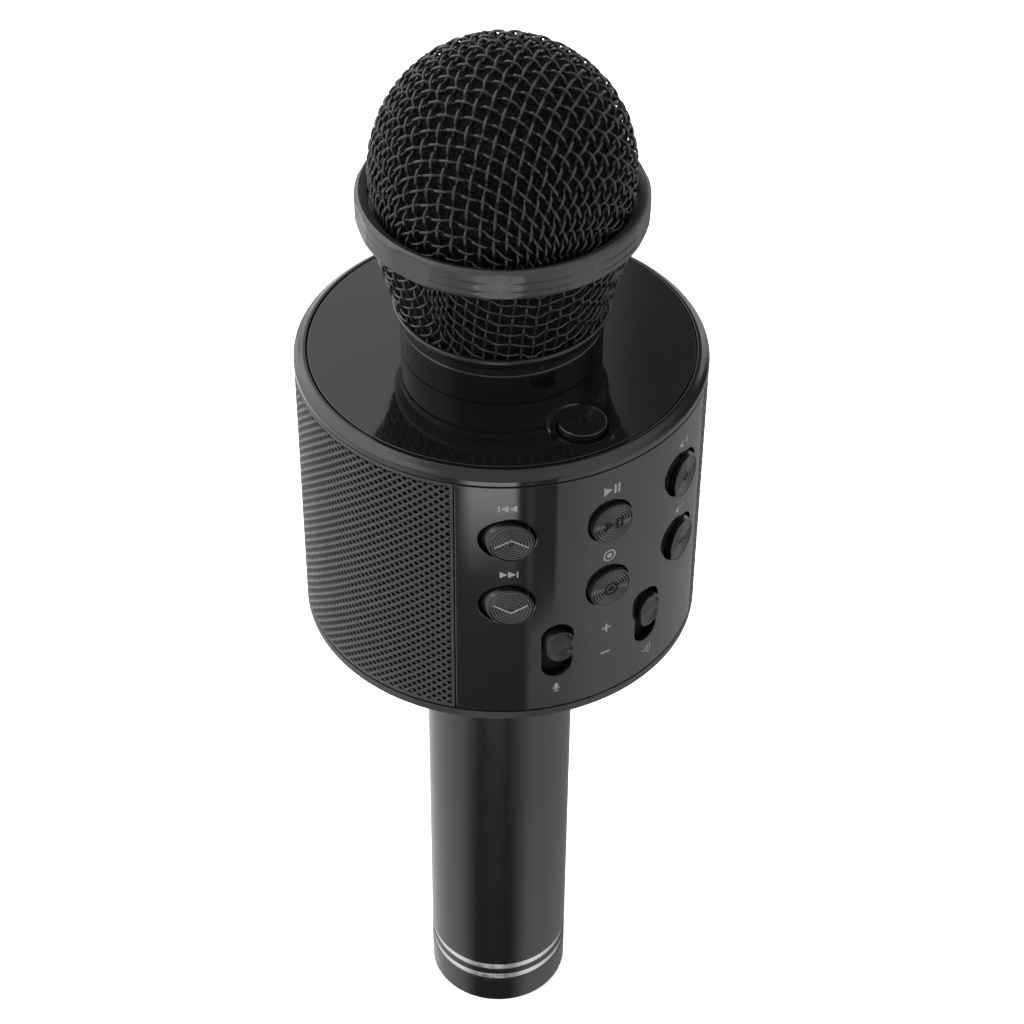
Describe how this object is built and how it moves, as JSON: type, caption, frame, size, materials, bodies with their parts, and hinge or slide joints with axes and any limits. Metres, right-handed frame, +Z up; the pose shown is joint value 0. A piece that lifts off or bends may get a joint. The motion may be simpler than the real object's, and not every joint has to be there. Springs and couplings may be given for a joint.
{
  "type": "karaoke microphone",
  "caption": "Handheld karaoke microphone with a wire-mesh head, a drum-shaped speaker body with buttons and sliders, and a tubular handle.",
  "frame": {"origin": "centre of the flat end of the handle, on its axis", "axes": "+Z up the handle axis towards the head; the control panel faces -Y; +X to the right when facing the panel"},
  "size_m": [0.074, 0.075, 0.2273],
  "materials": {
    "anodised_tube": "satin black anodised",
    "satin_plastic": "fine satin, moulded black",
    "piano_black": "high gloss black",
    "button_plastic": "satin black with turned rings",
    "grille_steel": "perforated sheet, satin dark grey",
    "mesh_wire": "woven wire, satin dark nickel",
    "head_metal": "satin dark grey",
    "foam": "open-cell foam, near black",
    "speaker_cloth": "thin black acoustic cloth",
    "housing_plastic": "moulded, unpainted",
    "steel_part": "plain plated steel",
    "circuit_board": "green solder mask",
    "cell_wrap": "shrink-wrapped cell",
    "magnet": "sintered ferrite",
    "paper_cone": "pressed paper",
    "soft_rubber": "matt",
    "indicator": "clear red",
    "lead_cover": "smooth"
  },
  "bodies": {
    "base": {"handle_tube": "anodised_tube", "end_cap": "satin_plastic", "port_board": "circuit_board", "usb_socket": "steel_part", "aux_jack": "housing_plastic", "card_socket": "steel_part", "charge_led": "indicator", "battery_cell": "cell_wrap", "battery_pad_lower": "foam", "battery_pad_upper": "foam", "battery_loom": "lead_cover", "bottom_cover": "satin_plastic", "bottom_screw_1": "steel_part", "bottom_screw_2": "steel_part", "bottom_screw_3": "steel_part", "speaker_housing": "housing_plastic", "grille_cloth": "speaker_cloth", "grille_wrap": "grille_steel", "control_panel": "piano_black", "bezel_ring": "piano_black", "top_plate": "piano_black", "control_board": "circuit_board", "power_board": "circuit_board", "power_switch": "housing_plastic", "mic_volume_pot": "steel_part", "remix_pot": "steel_part", "main_board": "circuit_board", "radio_module": "steel_part", "neck": "piano_black", "neck_nut": "steel_part", "capsule_holder": "housing_plastic", "capsule_grommet": "soft_rubber", "mic_capsule": "steel_part", "mic_lead": "lead_cover", "previous_switch": "housing_plastic", "next_switch": "housing_plastic", "play_switch": "housing_plastic", "record_switch": "housing_plastic", "volume_up_switch": "housing_plastic", "volume_down_switch": "housing_plastic", "left_speaker_basket": "steel_part", "left_speaker_magnet": "magnet", "left_speaker_cone": "paper_cone", "right_speaker_basket": "steel_part", "right_speaker_magnet": "magnet", "right_speaker_cone": "paper_cone"},
    "previous": {"previous_button": "button_plastic"},
    "next": {"next_button": "button_plastic"},
    "play": {"play_button": "button_plastic"},
    "record": {"record_button": "button_plastic"},
    "volume_up": {"volume_up_button": "button_plastic"},
    "volume_down": {"volume_down_button": "button_plastic"},
    "power": {"power_button": "button_plastic"},
    "mic_volume": {"mic_volume_knob": "button_plastic"},
    "remix": {"remix_knob": "button_plastic"},
    "head": {"head_collar": "head_metal", "head_cone_mesh": "mesh_wire", "head_ring": "head_metal", "head_dome_mesh": "mesh_wire", "foam_liner": "foam"}
  },
  "joints": [
    {"name": "previous_press", "type": "slide", "parent": "base", "child": "previous", "axis": [0, 1, 0], "range_m": [0, 0.0005], "stiffness_N_per_m": 3000},
    {"name": "next_press", "type": "slide", "parent": "base", "child": "next", "axis": [0, 1, 0], "range_m": [0, 0.0005], "stiffness_N_per_m": 3000},
    {"name": "play_press", "type": "slide", "parent": "base", "child": "play", "axis": [0, 1, 0], "range_m": [0, 0.0005], "stiffness_N_per_m": 3000},
    {"name": "record_press", "type": "slide", "parent": "base", "child": "record", "axis": [0, 1, 0], "range_m": [0, 0.0005], "stiffness_N_per_m": 3000},
    {"name": "volume_up_press", "type": "slide", "parent": "base", "child": "volume_up", "axis": [0, 1, 0], "range_m": [0, 0.0005], "stiffness_N_per_m": 3000},
    {"name": "volume_down_press", "type": "slide", "parent": "base", "child": "volume_down", "axis": [0, 1, 0], "range_m": [0, 0.0005], "stiffness_N_per_m": 3000},
    {"name": "power_press", "type": "slide", "parent": "base", "child": "power", "axis": [0, 0, -1], "range_m": [0, 0.0005], "stiffness_N_per_m": 3000},
    {"name": "mic_volume_slide", "type": "slide", "parent": "base", "child": "mic_volume", "axis": [0, 0, 1], "range_m": [-0.004, 0.0006]},
    {"name": "remix_slide", "type": "slide", "parent": "base", "child": "remix", "axis": [0, 0, 1], "range_m": [-0.004, 0.0006]},
    {"name": "head_lift_off", "type": "slide", "parent": "base", "child": "head", "axis": [0, 0, 1], "range_m": [0, 0.04]}
  ]
}
